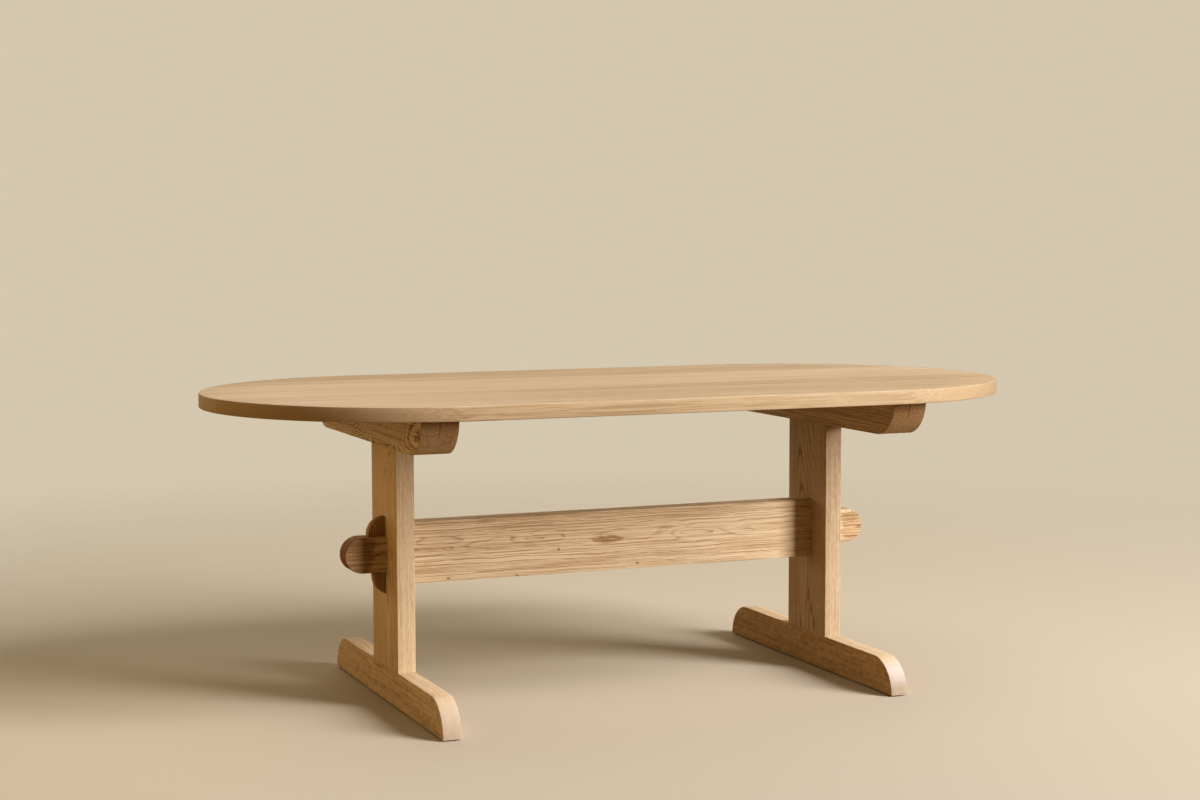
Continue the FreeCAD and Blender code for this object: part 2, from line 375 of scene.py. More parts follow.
def growthRings(place, radius, seeded, look):
    # Distance from the pith line, lifted round each knot and counted in rings. Each year starts with
    # open-pored early wood, whose line has that year's own weight and is broken into dashes.
    for knot in look["knots"]:
        radius = radius + place.bell(knot["at"], knot["size"]) * knot["lift"]
    drift = radius.node("ShaderNodeTexNoise", {"noise_dimensions": "1D"}, {
        "W": radius, "Scale": oakAmounts["driftScale"], "Detail": oakAmounts["driftDetail"]})
    phase = radius / look["ringWidth"] + drift * oakAmounts["drift"]
    share = phase.maths("FRACT", phase)
    year = phase.maths("FLOOR", phase)
    weight = year.node("ShaderNodeTexWhiteNoise", {"noise_dimensions": "1D"}, {"W": year})
    early = (1.0 - share.between(*oakRanges["early"])) * share.between(*oakRanges["year"])
    dash = seeded.noise(*oakNoises["dash"]).between(*oakRanges["dash"])
    line = early * (1.0 - look["spread"] + weight * weight * look["spread"])
    return early, line * (1.0 - oakAmounts["dash"] + dash * oakAmounts["dash"])


def boardFaces(start, look):
    # Shares from 0 to 1 of end grain, of clear figure, which cut fibres blur, and of an upright face
    normal = start.node("ShaderNodeNewGeometry", take="Normal")
    slant = normal.vector("DOT_PRODUCT", normal, grainAxis[look["grain"]], take=1).size()
    clear = 1.0 - slant.between(*oakRanges["blur"]) * look["endBlur"]
    rim = 1.0 - normal.part(2).size().between(*oakRanges["level"])
    return slant.between(*oakRanges["end"]), clear, rim


def oakFinish(name, look):
    # Solid oak: growth rings about a pith line that runs beside the board, so that every face of the
    # piece shows its own cut through the same rings. look["pith"] is a point on that line.
    finish, start = newFinish(name)
    amount = oakAmounts
    place, grain = boardPlaces(start, look)
    seeded = grain.vector("ADD", grain, Vector(amount["seedStep"]) * look["seed"])
    strayed = strayedGrain(grain, seeded, look)
    along, aside, above = (strayed.part(axis) for axis in range(3))
    radius = (aside * aside + above * above) ** 0.5
    around = aside.maths("ARCTAN2", above, aside)
    early, line = growthRings(place, radius, seeded, look)
    endGrain, clear, rim = boardFaces(start, look)

    streak, fibre, cloud = (seeded.noise(*oakNoises[kind]) for kind in ("streak", "fibre", "cloud"))
    figure = seeded.noise(look["figureScale"], amount["figureDetail"], amount["figureRoughness"])
    hair = strayed.noise(*oakNoises["hair"]).between(*oakRanges["hair"])
    pore = seeded.noise(*oakNoises["pore"]).between(*oakRanges["pore"])
    pore = pore * (amount["latePore"] + early * (1.0 - amount["latePore"])) * clear
    rayPlace = radius.node("ShaderNodeCombineXYZ", {}, {0: along, 1: radius, 2: around})
    ray = rayPlace.noise(*oakNoises["ray"]).between(*oakRanges["ray"]) * clear

    # 0.5 is the middle tone, and also the mean of each noise. The figure is bolder on upright faces.
    figureShare = amount["flatFigure"] + rim * (1.0 - amount["flatFigure"])
    shade = (look["tone"] + 0.5
             - line * look["ringDepth"]
             + (streak - 0.5) * look["streak"]
             - hair * (look["hair"] + rim * look["rimHair"])
             + (fibre - 0.5) * amount["fibre"]
             + (cloud - 0.5) * look["cloud"]
             + (figure - 0.5) * look["figure"] * figureShare)
    blurred = look["tone"] + amount["blurTone"]
    shade = blurred + (shade - blurred) * clear
    # Smooth patches that lift or lower the tone: a real darker tone on the stretcher, painted light on the
    # table top
    for fade in look["fades"]:
        shade = shade + place.bell(fade["at"], fade["size"]) * fade["gain"]
    # Patchy darker marks: real stains and a knot streak, and a painted shadow on the stretcher's left tenon
    for stain in look["stains"]:
        patch = place.bell(stain["at"], stain["size"]) * amount["stainBell"]
        patch = patch + (figure - 0.5) * amount["stainFigure"]
        shade = shade - patch.between(*oakRanges["stain"]) * stain["depth"]

    colour = shade.node("ShaderNodeValToRGB", {"stops": [
        (0.0, oakTones["dark"]), (0.5, oakTones["middle"]), (1.0, oakTones["pale"])]}, {0: shade})
    colour = (pore * amount["poreTone"]).mixed(colour, opaque(oakTones["pore"]))
    colour = (ray * look["ray"]).mixed(colour, opaque(oakTones["ray"]))
    for pin in look["pins"]:
        dot = place.bell(pin["at"], pin["size"]).between(*oakRanges["pin"]) * pin["depth"]
        colour = dot.mixed(colour, opaque(oakTones["pore"]))
    colour = endGrain.mixed(colour, colour.tinted(look["endTint"]))
    # Level and upright faces take their own tints; on the feet these paint light onto the tops and shade
    # onto the right foot's sides
    colour = rim.mixed(colour.tinted(look["tint"]), colour.tinted(look["rimTint"]))

    height = fibre * amount["fibreHeight"] - pore - early * amount["earlyDepth"]
    roughness = amount["roughness"] + pore * amount["poreRoughness"] - ray * amount["rayGloss"]
    closeFinish(start, {
        "Base Color": colour, "Specular IOR Level": amount["specular"],
        "Roughness": roughness + (fibre - 0.5) * amount["fibreRoughness"],
        "Normal": height.bumped(amount["bumpStrength"], amount["bumpDepth"])})
    return finish


# Table top: boards glued edge to edge

topForm = {
    "boards": 7, "arris": 0.0025, "acrossSteps": 28, "alongSteps": 12,
    "tones": (0.08, 0.08, 0.0, 0.19, 0.22, 0.08, 0.0),
    "pithAside": 0.03, "pithHeight": 0.66, "pithStep": 0.03, "seedStep": 1.37,
    "oak": oakLook(
        flatSawn, ringDepth=0.30, streak=0.6, hair=0.16, rimHair=0.10, ray=0.12,
        tint=(0.93, 0.935, 0.965), rimTint=(0.785, 0.77, 0.745), endTint=(0.80, 0.82, 0.87),
        # Painted light: paler patches on the front rim at the right, on the left part of the top and on its
        # left end, standing in for more light falling there
        fades=({"at": (0.42, -0.52, 0.745), "size": (0.40, 0.06, 0.06), "gain": 0.20},
               {"at": (-0.85, -0.45, 0.770), "size": (0.45, 0.55, 0.016), "gain": 0.33},
               {"at": (-1.05, -0.15, 0.745), "size": (0.22, 0.35, 0.02), "gain": 0.25})),
}


def topBoard(number):
    # Point at (across, along, level): angle = between the board's two edges, reach = end radius less the
    # level's draw-in, y = reach times its sine, x = along times (straight half length + reach times its
    # cosine). The top is the widest piece, so its end radius and length are those of the whole box.
    form = topForm
    node = "top_board_%d" % number
    low, high = nodeBox(node)
    endRadius = cadBox[1][1]
    straight = cadBox[1][0] - endRadius
    levels, drawn = easedLevels(low[2], high[2], form["arris"])
    reach = (endRadius - drawn)[None, None, :]
    edges = [np.arcsin(np.clip(edge / reach, -1.0, 1.0)) for edge in (low[1], high[1])]
    across = np.linspace(0, 1, form["acrossSteps"] + 1)[:, None, None]
    along = np.linspace(-1, 1, form["alongSteps"] + 1)[None, :, None]
    angle = edges[0] + (edges[1] - edges[0]) * across
    x = along * (straight + reach * np.cos(angle))
    places = lattice(x, reach * np.sin(angle), levels[None, None, :])
    filled = np.ones(np.subtract(places.shape[:3], 1), bool)
    pithY = (low[1] + high[1]) / 2 + form["pithAside"] * (-1) ** number
    pithZ = form["pithHeight"] - form["pithStep"] * (number % 3)
    look = oakLook(form["oak"], pith=(0.0, pithY, pithZ), seed=number * form["seedStep"],
                   tone=form["tones"][number - 1])
    addLattice("topBoard%d" % number, places, filled, node, oakFinish("topOak%d" % number, look))


for number in range(1, topForm["boards"] + 1):
    topBoard(number)
print("top boards made")


# Joints that several pieces share

jointForm = {
    "fit": 0.00015, "keyFit": 0.0002,            # clearance on each side
    "stubThickness": 0.015, "stubWidth": 0.150, "stubLength": 0.058, "stubSpare": 0.001,
    "tenonHeight": 0.086, "keyWidth": 0.0425, "keyTaper": math.radians(7),
}
postInner, postOuter = (corner[0] for corner in nodeBox("right_post"))
postHalf = nodeBox("right_post")[1][1]           # half its width
tenonMiddle = sum(corner[2] for corner in nodeBox("stretcher")) / 2


# Feet and bearers: rails with two corners rounded over the full height

railForm = {"arris": 0.0015, "endSteps": 20, "seatRunOut": 0.004}
slotForm = {"offset": 0.290, "travel": 0.008, "bore": 0.0045, "pocket": 0.011, "blend": 0.016,
            "pocketDepth": 0.046}


def stubMortise():
    halfThickness = jointForm["stubThickness"] / 2 + jointForm["fit"]
    halfWidth = jointForm["stubWidth"] / 2 + jointForm["fit"]
    return halfThickness, halfWidth, jointForm["stubLength"] + jointForm["stubSpare"]


def railSteps(height, spring, seatHalf, stubbed, slots, travel):
    # Levels from the middle of the thickness, stations along the rail and shares of its height where the
    # lattice needs a sheet, for the post's seat, the stub mortise and the slots with their pockets
    signs = (-1, 1)
    levels, stations, shares = {0.0}, {-spring, spring}, {0.0, 1.0}
    if seatHalf:
        stations |= {sign * (seatHalf + out) for out in (0.0, railForm["seatRunOut"]) for sign in signs}
    if stubbed:
        halfThickness, halfWidth, depth = stubMortise()
        levels |= {-halfThickness, halfThickness}
        stations |= {-halfWidth, halfWidth}
        shares |= {1 - depth / height}
    if slots:
        bore, pocket = slotForm["bore"], slotForm["pocket"]
        rings = (bore / 2, bore, (bore + pocket) / 2, pocket, slotForm["blend"])
        levels |= {sign * ring for ring in rings for sign in signs}
        stations |= {y + sign * (ring + travel / 2) for y in slots for ring in rings for sign in signs}
        stations |= set(slots)
        shares |= {1 - slotForm["pocketDepth"] / height}
    return (np.array(sorted(steps)) for steps in (levels, stations, shares))


def railCells(levels, station, shares, height, stubbed, slots, travel):
    # Every cell but those of the stub mortise, the slots and their pockets, which start at the rail's top
    holes = []
    if stubbed:
        halfThickness, halfWidth, depth = stubMortise()
        holes.append((0.0, halfThickness, halfWidth, depth))
    for y in slots:
        holes.append((y, slotForm["bore"], slotForm["bore"] + travel / 2, height))
        holes.append((y, slotForm["pocket"], slotForm["pocket"] + travel / 2, slotForm["pocketDepth"]))
    filled = blockOf(allCells(levels), allCells(station), allCells(shares))
    for y, halfThickness, halfWidth, depth in holes:
        filled &= ~blockOf(cellsWithin(levels, -halfThickness, halfThickness),
                           cellsWithin(station - y, -halfWidth, halfWidth),
                           cellsWithin(shares, 1 - depth / height, 1.0))
    return filled


def roundSlots(x, y, middle, slots, travel):
    # Square rings of the lattice become circles: each point moves to its largest offset, measured along
    # its own direction from the nearest point of the slot's middle line, and eases back to square outside.
    blend, pocket = slotForm["blend"], slotForm["pocket"]
    for slot in slots:
        dx, dy = x - middle, y - slot
        beyond = np.maximum(np.abs(dy) - travel / 2, 0.0)
        square = np.maximum(np.abs(dx), beyond)
        span = np.maximum(np.hypot(dx, beyond), tolerance)
        share = np.clip((blend - square) / (blend - pocket), 0.0, 1.0)
        scale = 1 + share * (square / span - 1)
        y = np.where(share > 0, slot + np.sign(dy) * (np.abs(dy) - beyond + beyond * scale), y)
        x = np.where(share > 0, middle + dx * scale, x)
    return x, y


def railLattice(box, lowEased, highEased, seatHalf, stubbed, slots, travel):
    # Point at (thickness, station, share of height): along the straight the top is at the full height, and
    # at an end y and height follow the cosine and sine of a quarter circle. The eased faces draw both in.
    low, high = box
    height = high[2] - low[2]
    spring, middle = high[1] - height, (low[0] + high[0]) / 2
    between, flats, shares = railSteps(height, spring, seatHalf, stubbed, slots, travel)
    levels, drawn = easedLevels(low[0], high[0], railForm["arris"], lowEased, highEased, middle + between)
    rise = np.linspace(0, quarterTurn, railForm["endSteps"] + 1)[:-1]
    rounded, flat = np.ones(len(rise)), np.ones(len(flats))
    station = np.concatenate([-spring * rounded, flats, spring * rounded])
    angle = np.concatenate([rise, quarterTurn * flat, rise[::-1]])
    side = np.concatenate([-rounded, flat * 0, rounded])
    eased = np.where(np.abs(station) < seatHalf + tolerance, 0.0, 1.0)
    bottom = drawn[:, None]
    reach = height - bottom * eased
    lowest = np.arcsin(bottom / reach)
    climb = lowest + (quarterTurn - lowest) * angle / quarterTurn
    y = station + side * reach * np.cos(climb)
    top = reach * np.sin(climb)
    z = bottom[:, :, None] + (top - bottom)[:, :, None] * shares
    x, y = np.broadcast_arrays(levels[:, None, None], y[:, :, None])
    x, y = roundSlots(x, y, middle, slots, travel)
    return lattice(x, y, z), railCells(levels - middle, station, shares, height, stubbed, slots, travel)


# The feet's tint is painted light: their level faces are made paler, as if lit more from above
footOak = oakLook(
    flatSawn, grain="y", ringDepth=0.3, figure=1.3, figureScale=(48.0, 85.0, 85.0), streak=0.15, hair=0.32,
    tone=0.32, tint=(1.12, 1.14, 1.18), endTint=(0.80, 0.83, 0.95))
footLooks = {
    "left": oakLook(footOak, seed=11.0, pith=(-0.95, 0.0, 0.25)),
    # Painted shade: the right foot's upright faces are darker, as if less light reached them; its endTint
    # takes most of that off its ends again
    "right": oakLook(footOak, seed=21.0, pith=(0.25, 0.0, 0.28), rimTint=(0.82, 0.75, 0.64),
                     endTint=(0.85, 0.98, 1.34)),
}


def trestleFoot(side):
    box = nodeBox("right_foot")
    places, filled = railLattice(box, True, True, postHalf, True, (), 0.0)
    places = places + np.array([0.0, 0.0, box[0][2]])
    addLattice(side + "Foot", onSide(side, places), filled, side + "_foot",
               oakFinish(side + "FootOak", footLooks[side]))


# The bearers' darker ends are partly real end grain and partly painted shade from the table top's overhang
# above them
bearerOak = oakLook(
    flatSawn, grain="y", ringDepth=1.7, ringWidth=0.0026, spread=0.3, figure=0.45, tone=0.45, endBlur=0.1,
    endTint=(0.66, 0.54, 0.42))
glueLine = {"size": (0.0016, 0.10, 0.05), "depth": 0.75}  # between the two boards, where it shows on an end
leftGlue = {**glueLine, "at": (-postOuter, -0.43, 0.725)}
rightGlue = {**glueLine, "at": (postOuter, -0.43, 0.725)}
swirl = {"at": (-0.646, -0.16, 0.700), "size": (0.2, 0.14, 0.045), "lift": 0.034}
bearerLooks = {
    "leftInner": oakLook(bearerOak, seed=13.0, pith=(-0.50, 0.0, 0.62), pins=(leftGlue,)),
    "leftOuter": oakLook(bearerOak, seed=14.0, pith=(-0.80, 0.0, 0.70), pins=(leftGlue,), ringWidth=0.0019,
                         ringDepth=1.4, wave=0.007, rimTint=(1.0, 1.06, 1.12), knots=(swirl,)),
    "rightInner": oakLook(bearerOak, seed=23.0, pith=(0.40, 0.0, 0.80), pins=(rightGlue,)),
    "rightOuter": oakLook(bearerOak, seed=24.0, pith=(0.75, 0.0, 0.60), pins=(rightGlue,)),
}


def trestleBearer(side, which):
    # A foot upside down. The inner board carries the post and two slots, the outer one a round bore.
    box = nodeBox("right_bearer_" + which)
    if which == "inner":
        slots = (-slotForm["offset"], slotForm["offset"])
        places, filled = railLattice(box, True, False, postHalf, True, slots, slotForm["travel"])
    else:
        places, filled = railLattice(box, False, True, 0.0, False, (0.0,), 0.0)
    places = places * np.array([1.0, 1.0, -1.0]) + np.array([0.0, 0.0, box[1][2]])
    label = which.capitalize()
    addLattice(side + "Bearer" + label, onSide(side, places), filled, side + "_bearer_" + which,
               oakFinish(side + "Bearer" + label + "Oak", bearerLooks[side + label]))


# Posts

postOak = oakLook(
    flatSawn, grain="z", ringDepth=0.8, ringWidth=0.0022, spread=0.35, bend=0.010, wave=0.004, figure=0.75,
    figureScale=(55.0, 290.0, 290.0), streak=0.10, hair=0.16)
postForm = {
    "arris": 0.0015,
    "left": oakLook(
        postOak, seed=12.0, tone=0.33, pith=(-0.44, -0.03, 0.3),
        knots=({"at": (-0.601, -0.04, 0.47), "size": (0.2, 0.018, 0.10), "lift": 0.020},)),
    "right": oakLook(
        postOak, seed=22.0, tone=0.20, pith=(0.72, 0.02, 0.3), wave=0.002, rimTint=(0.92, 0.92, 0.98),
        knots=({"at": (0.556, 0.0, 0.70), "size": (0.2, 0.05, 0.22), "lift": 0.014},),
        stains=[{"at": (0.556, -0.027 + step * 0.015, 0.150 + step * 0.035),
                 "size": (0.03, 0.008, 0.024), "depth": 0.4} for step in (-1, 0, 1)]),
}


def trestlePost(side):
    # Point at (thickness, width, height): the width draws in at the two eased faces along a quarter circle
    low, high = nodeBox("right_post")
    footTop, bearerUnderside = nodeBox("right_foot")[1][2], nodeBox("right_bearer_inner")[0][2]
    middle = (low[0] + high[0]) / 2
    halfStub, halfStubWidth = jointForm["stubThickness"] / 2, jointForm["stubWidth"] / 2
    halfTenon = jointForm["tenonHeight"] / 2 + jointForm["fit"]
    halfMortise = nodeBox("stretcher")[1][1] + jointForm["fit"]
    stubSides = (middle - halfStub, middle + halfStub)
    mortiseSpan = (tenonMiddle - halfTenon, tenonMiddle + halfTenon)
    levels, drawn = easedLevels(low[0], high[0], postForm["arris"], between=stubSides)
    halves = np.array([halfMortise, halfStubWidth, high[1]])
    widths = np.concatenate([-halves[::-1], halves])
    heights = np.array([low[2], footTop, *mortiseSpan, bearerUnderside, high[2]])
    outer = np.abs(widths) > high[1] - tolerance
    y = widths[None, :] - np.sign(widths)[None, :] * outer * drawn[:, None]
    places = lattice(levels[:, None, None], y[:, :, None], heights[None, None, :])
    slab = blockOf(allCells(levels), allCells(widths), cellsWithin(heights, footTop, bearerUnderside))
    stub = blockOf(cellsWithin(levels, *stubSides), cellsWithin(widths, -halfStubWidth, halfStubWidth),
                   allCells(heights))
    mortise = blockOf(allCells(levels), cellsWithin(widths, -halfMortise, halfMortise),
                      cellsWithin(heights, *mortiseSpan))
    addLattice(side + "Post", onSide(side, places), (slab | stub) & ~mortise, side + "_post",
               oakFinish(side + "PostOak", postForm[side]))


# Stretcher: a beam with a round-ended tenon at each end, mortised for the keys

beamFace = nodeBox("stretcher")[0][1]  # on the viewer's side
eye = {"size": (0.075, 0.06, 0.010), "lift": 0.0040}
pinKnot = {"size": (0.005, 0.02, 0.0032), "depth": 0.8}
stretcherForm = {
    "arris": 0.0015, "endSteps": 20, "keyDraw": 0.004,
    "oak": oakLook(
        flatSawn, seed=5.0, pith=(0.0, 0.085, 0.378), lean=(0.0, 0.0), bend=0.006, wave=0.006,
        ringWidth=0.0017, ringDepth=1.5, streak=0.6, hair=0.42, tone=0.40,
        tint=(1.11, 1.12, 1.14), rimTint=(1.11, 1.12, 1.14),
        knots=({**eye, "at": (-0.469, beamFace, 0.388)},
               {**eye, "at": (-0.211, beamFace, 0.382)},
               {**eye, "at": (0.219, beamFace, 0.374)},
               {"at": (0.66, beamFace, 0.40), "size": (0.06, 0.06, 0.03), "lift": 0.02}),
        fades=({"at": (-0.30, beamFace, 0.365), "size": (0.50, 0.3, 0.30), "gain": -0.15},),
        stains=({"at": (-0.02, beamFace, 0.369), "size": (0.05, 0.05, 0.012), "depth": 0.45},
                # Painted shadow: the left post's shadow over the tenon
                {"at": (-0.68, beamFace, 0.365), "size": (0.06, 0.2, 0.08), "depth": 0.58},
                {"at": (0.68, beamFace, 0.365), "size": (0.05, 0.2, 0.08), "depth": 0.36}),
        pins=({**pinKnot, "at": (-0.447, beamFace, 0.297)},
              {**pinKnot, "at": (-0.157, beamFace, 0.351)},
              {**pinKnot, "at": (0.057, beamFace, 0.303)},
              {**pinKnot, "at": (-0.268, beamFace, 0.293)})),
}


def stretcherBeam():
    # Point at (thickness, station, height): beam and tenon have straight edges, and the tenon's tip
    # follows a half circle. The outer side of each key mortise leans by the taper.
    form = stretcherForm
    low, high = nodeBox("stretcher")
    halfBeam, halfTenon = (high[2] - low[2]) / 2, jointForm["tenonHeight"] / 2
    halfKey = nodeBox("right_key")[1][1] + jointForm["keyFit"]
    levels, drawn = easedLevels(low[1], high[1], form["arris"], between=(-halfKey, halfKey))
    spring = high[0] - halfTenon
    keyInner = postOuter - form["keyDraw"]
    keyOuter = postOuter + jointForm["keyWidth"] + 2 * jointForm["keyFit"]
    straight = np.array([postInner, keyInner, keyOuter, spring])
    fall = np.linspace(quarterTurn, 0, form["endSteps"] + 1)[1:]
    positive = np.concatenate([straight, spring + 0 * fall])
    station = np.concatenate([-positive[::-1], positive])
    swing = np.concatenate([np.full(len(straight), quarterTurn), fall])
    swing = np.concatenate([swing[::-1], swing])
    side = np.sign(station)
    shares = np.array([-1.0, -0.5, 0.0, 0.5, 1.0])
    tenon = (halfTenon - drawn)[:, None, None]
    tenonZ = tenon * np.sin(swing)[None, :, None] * shares[None, None, :]
    edge = np.broadcast_to((halfBeam - drawn)[:, None, None], tenonZ.shape[:2] + (1,))
    z = np.concatenate([-edge, tenonZ, edge], axis=2)
    x = station[None, :, None] + (side * np.cos(swing))[None, :, None] * tenon + 0 * z
    leaning = (np.abs(np.abs(station) - keyOuter) < tolerance)[None, :, None]
    x = x + leaning * side[None, :, None] * (z - halfTenon) * math.tan(jointForm["keyTaper"])
    places = lattice(x, levels[:, None, None], z + tenonMiddle)
    everyLevel, everyHeight = allCells(levels), allCells(z[0, 0])
    inTenon = everyHeight.copy()
    inTenon[[0, -1]] = False
    filled = blockOf(everyLevel, cellsWithin(station, -postInner, postInner), everyHeight)
    filled |= blockOf(everyLevel, allCells(station), inTenon)
    for sign in (-1, 1):
        inMortise = cellsWithin(station, *sorted((sign * keyInner, sign * keyOuter)))
        filled &= ~blockOf(cellsWithin(levels, -halfKey, halfKey), inMortise, everyHeight)
    addLattice("stretcherBeam", places, filled, "stretcher", oakFinish("stretcherOak", form["oak"]))


# Wedge keys

# The keys are darker all over: partly a darker wood, partly painted shade of the nook beside the post
keyOak = oakLook(flatSawn, grain="z", ringDepth=0.35, hair=0.25, tone=-0.19)
keyForm = {
    "arris": 0.001, "rise": 0.0475, "drop": 0.055, "tipStart": 0.017,  # over the tenon, then under it
    "crownSteps": 18, "tipSteps": 16, "edgeSteps": 4,
    "left": oakLook(keyOak, seed=15.0, pith=(-0.55, 0.08, 0.3)),
    "right": oakLook(keyOak, seed=25.0, pith=(0.55, -0.08, 0.3)),
}


def keyOutline():
    # Outer edge from tip to crown: an arc that leaves the tapered edge and ends on the post's face, the
    # straight taper, and an arc struck from a centre on the post's face.
    form, width, taper = keyForm, jointForm["keyWidth"], jointForm["keyTaper"]
    tenonTop = tenonMiddle + jointForm["tenonHeight"] / 2
    tenonBottom = tenonMiddle - jointForm["tenonHeight"] / 2
    sine, cosine = math.sin(taper), math.cos(taper)
    crown = (width * cosine + form["rise"] * sine) / (1 + sine)
    centre = tenonTop + form["rise"] - crown
    waistZ = tenonBottom - form["tipStart"]
    waist = np.array([width + (waistZ - tenonTop) * math.tan(taper), waistZ])
    tip = np.array([0.0, tenonBottom - form["drop"]])
    normal = np.array([cosine, -sine])  # of the tapered edge, outwards
    chord = tip - waist
    tipRadius = chord @ chord / (-2 * (chord @ normal))
    tipCentre = waist - normal * tipRadius
    end = math.atan2(*(tip - tipCentre)[::-1])
    turn = np.linspace(end, -taper, form["tipSteps"] + 1)
    lowerNormal = np.stack([np.cos(turn), np.sin(turn)], axis=1)
    lower = tipCentre + tipRadius * lowerNormal
    turn = np.linspace(-taper, quarterTurn, form["crownSteps"] + 1)
    upperNormal = np.stack([np.cos(turn), np.sin(turn)], axis=1)
    upper = np.array([0.0, centre]) + crown * upperNormal
    share = np.linspace(0, 1, form["edgeSteps"] + 1)[1:-1, None]
    straight = lower[-1] + (upper[0] - lower[-1]) * share
    return (np.concatenate([lower, straight, upper]),
            np.concatenate([lowerNormal, np.repeat(normal[None], len(straight), axis=0), upperNormal]))


def wedgeKey(side):
    # Point at (thickness, place on the outline, share of the width): the outline drawn in along its
    # normal at the eased faces, times the share from the post's face outwards.
    low, high = nodeBox("right_key")
    line, normal = keyOutline()
    levels, drawn = easedLevels(low[1], high[1], keyForm["arris"])
    inset = line[None] - normal[None] * drawn[:, None, None]
    shares = np.array([0.0, 0.5, 1.0])
    x = np.maximum(inset[:, :, 0], 0.0)[:, :, None] * shares + low[0]
    places = lattice(x, levels[:, None, None], inset[:, :, 1][:, :, None])
    filled = np.ones(np.subtract(places.shape[:3], 1), bool)
    addLattice(side + "Key", onSide(side, places), filled, side + "_key",
               oakFinish(side + "KeyOak", keyForm[side]))


# Bolts, washers, inserts and glides

stockAmounts = {                   # a noise is given as scales per metre, detail and roughness
    "cloudNoise": ((170.0, 170.0, 170.0), 3.0, 0.6), "cloudRange": (0.35, 0.70), "cloud": 0.7,
    "speckNoise": ((1400.0, 1400.0, 1400.0), 2.0, 0.6), "speck": 0.5,
    "marksDetail": 2.0, "marksRoughness": 0.6, "cloudGloss": 0.3, "marksGloss": 0.2,
    "marksHeight": 0.7, "speckHeight": 0.3, "bumpStrength": 0.25, "bumpDepth": 0.0002,
}


def fixingFinish(name, look):
    # Plated, turned or moulded stock: clouds of duller colour, fine tool marks and a slight bump
    finish, start = newFinish(name)
    amount = stockAmounts
    place = start.node("ShaderNodeTexCoord", take="Object")
    place = place.node("ShaderNodeMapping", {"vector_type": "POINT"},
                       {"Vector": place, "Location": look["shift"]})
    cloud, speck = place.noise(*amount["cloudNoise"]), place.noise(*amount["speckNoise"])
    marks = place.noise(look["marks"], amount["marksDetail"], amount["marksRoughness"])
    dull = cloud.between(*amount["cloudRange"]) * amount["cloud"] + (speck - 0.5) * amount["speck"]
    height = marks * amount["marksHeight"] + speck * amount["speckHeight"]
    roughness = look["roughness"] + (cloud - 0.5) * amount["cloudGloss"]
    closeFinish(start, {
        "Base Color": dull.mixed(opaque(look["bright"]), opaque(look["dull"])),
        "Metallic": look["metallic"], "Roughness": roughness + (marks - 0.5) * amount["marksGloss"],
        "Normal": height.bumped(amount["bumpStrength"], amount["bumpDepth"])})
    return finish


turnedForm = {"around": 36, "edge": 0.0004, "edgeSteps": 4}
angles = np.linspace(0, 2 * math.pi, turnedForm["around"], endpoint=False)
boltForm = {
    "headHeight": 0.0055, "flats": 0.013, "headFace": 0.0061, "headSteps": 8, "shank": 0.004,
    "tipChamfer": 0.0008, "threadLength": 0.026, "pitch": 0.00125, "threadDepth": 0.00068,
    "stepsPerTurn": 8,
    "look": {"bright": (0.62, 0.62, 0.61), "dull": (0.43, 0.44, 0.45), "metallic": 1.0, "roughness": 0.36,
             "marks": (900.0, 900.0, 60.0), "shift": (0.0, 0.0, 0.0)},
}
washerForm = {
    "radius": 0.010, "bore": 0.00405,
    "look": {"bright": (0.66, 0.66, 0.65), "dull": (0.47, 0.48, 0.49), "metallic": 1.0, "roughness": 0.34,
             "marks": (60.0, 1100.0, 900.0), "shift": (0.3, 0.1, 0.0)},
}
insertForm = {
    "radius": 0.007, "bore": 0.00405,
    "pitch": 0.0025, "threadDepth": 0.0009, "stepsPerTurn": 10, "tipChamfer": 0.0008,
    "look": {"bright": (0.74, 0.53, 0.24), "dull": (0.52, 0.35, 0.14), "metallic": 1.0, "roughness": 0.33,
             "marks": (50.0, 50.0, 2600.0), "shift": (0.0, 0.4, 0.2)},
}
glideForm = {
    "radius": 0.014, "edge": 0.001,
    "look": {"bright": (0.040, 0.032, 0.026), "dull": (0.085, 0.070, 0.058), "metallic": 0.0,
             "roughness": 0.58, "marks": (700.0, 700.0, 700.0), "shift": (0.2, 0.0, 0.5)},
}
boltFinish = fixingFinish("boltsFinish", boltForm["look"])
washerFinish = fixingFinish("washersFinish", washerForm["look"])
insertFinish = fixingFinish("insertsFinish", insertForm["look"])
glideFinish = fixingFinish("glidesFinish", glideForm["look"])


def addTurned(name, places, radius, height, node, finish):
    # Surface at (ring, angle): the ring's radius and height carried round an upright line at each place
    radius, height = np.broadcast_arrays(radius, height)
    one = np.stack([radius * np.cos(angles), radius * np.sin(angles), height], axis=-1).reshape(-1, 3)
    points = (places[:, None, :] + one).reshape(-1, 3)
    first = np.arange(len(places))[:, None, None] * len(one)
    addPiece(name, points, (first + ringQuads(*radius.shape)).reshape(-1, 4), node, finish)


def column(*values):
    return np.array(values)[:, None]


def roundedEdge(radius, edge):
    # Quarter circle from the face to the rim: reach = radius - edge times (1 - sine), lift = edge times
    # (1 - cosine)
    turn = np.linspace(0, quarterTurn, turnedForm["edgeSteps"] + 1)
    return radius - edge + edge * np.sin(turn), edge - edge * np.cos(turn)


def threaded(low, high, form, crest):
    # Radius at (ring, angle): crest - depth times a triangle wave that climbs one pitch in each turn. The
    # thread fades in over its first turn, and a chamfer takes down the end.
    height = np.arange(low, high, form["pitch"] / form["stepsPerTurn"])
    height = np.append(height, high)[:, None]
    climb = (height - low) / form["pitch"] - angles / (2 * math.pi)
    wave = np.abs(2 * (climb % 1.0) - 1)
    fade = np.clip((height - low) / form["pitch"], 0.0, 1.0)
    radius = crest - form["threadDepth"] * wave * fade
    return np.minimum(radius, crest - form["tipChamfer"] + (high - height)), height


